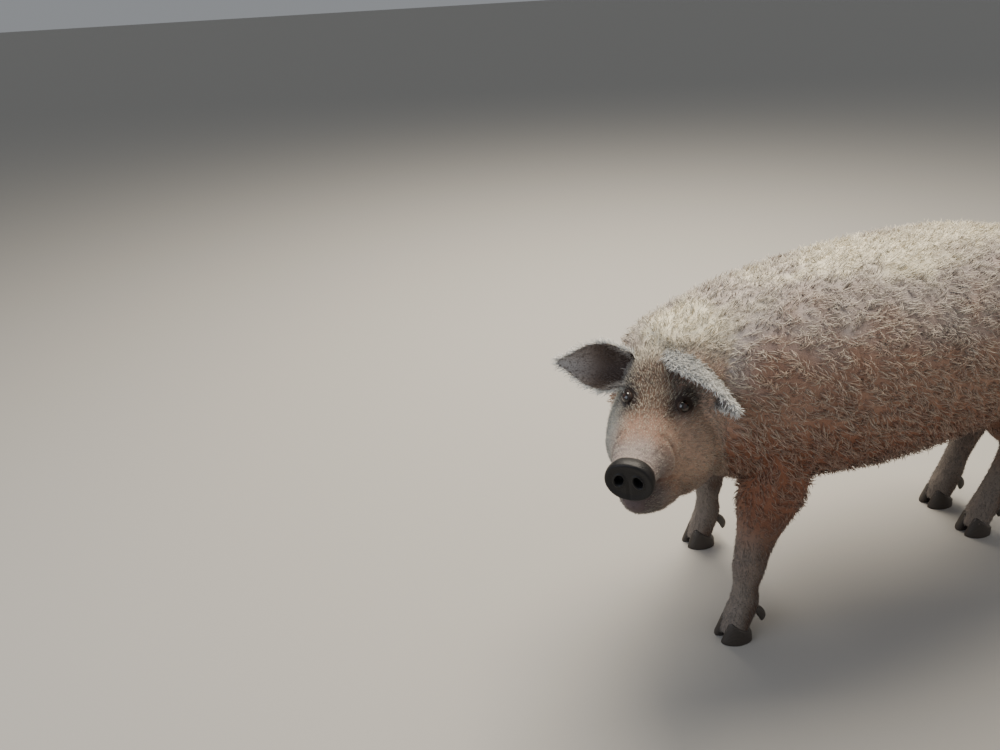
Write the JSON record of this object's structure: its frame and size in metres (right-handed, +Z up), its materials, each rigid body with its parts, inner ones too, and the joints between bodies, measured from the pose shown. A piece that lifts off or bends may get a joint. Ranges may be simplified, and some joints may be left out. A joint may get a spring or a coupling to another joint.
{
  "type": "mangalica pig model",
  "caption": "Life-size museum model of a blonde curly-coated pig, standing square with the head turned to its left, eyes on the viewer.",
  "frame": {"origin": "on the floor under the middle of the animal's bounding box", "axes": "+Z up, -X the way the trunk faces, -Y to the animal's own left"},
  "size_m": [1.376, 0.4848, 0.83],
  "materials": {
    "fleece": "curly cream wool over a warm hide, matt",
    "face_hair": "short flat tan hair, matt",
    "leg_hair": "short grey-brown hair, matt",
    "snout_leather": "bare black skin, moist",
    "eye_gloss": "wet dark brown eye",
    "claw_horn": "dark horn, worn dull"
  },
  "bodies": {
    "root": {"rump": "fleece", "barrel": "fleece", "chest": "fleece", "neck": "fleece", "head": "face_hair", "lower_jaw": "face_hair", "snout_disc": "snout_leather", "ear_left": "fleece", "ear_right": "fleece", "eye_left": "eye_gloss", "eye_right": "eye_gloss", "tail_dock": "fleece", "tail_brush": "fleece", "thigh_left": "fleece", "thigh_right": "fleece", "shoulder_left": "fleece", "shoulder_right": "fleece", "fore_left_upper_leg": "leg_hair", "fore_left_lower_leg": "leg_hair", "fore_left_claw_left": "claw_horn", "fore_left_dew_claw_left": "claw_horn", "fore_left_claw_right": "claw_horn", "fore_left_dew_claw_right": "claw_horn", "fore_right_upper_leg": "leg_hair", "fore_right_lower_leg": "leg_hair", "fore_right_claw_left": "claw_horn", "fore_right_dew_claw_left": "claw_horn", "fore_right_claw_right": "claw_horn", "fore_right_dew_claw_right": "claw_horn", "hind_left_upper_leg": "leg_hair", "hind_left_lower_leg": "leg_hair", "hind_left_claw_left": "claw_horn", "hind_left_dew_claw_left": "claw_horn", "hind_left_claw_right": "claw_horn", "hind_left_dew_claw_right": "claw_horn", "hind_right_upper_leg": "leg_hair", "hind_right_lower_leg": "leg_hair", "hind_right_claw_left": "claw_horn", "hind_right_dew_claw_left": "claw_horn", "hind_right_claw_right": "claw_horn", "hind_right_dew_claw_right": "claw_horn"}
  },
  "joints": []
}
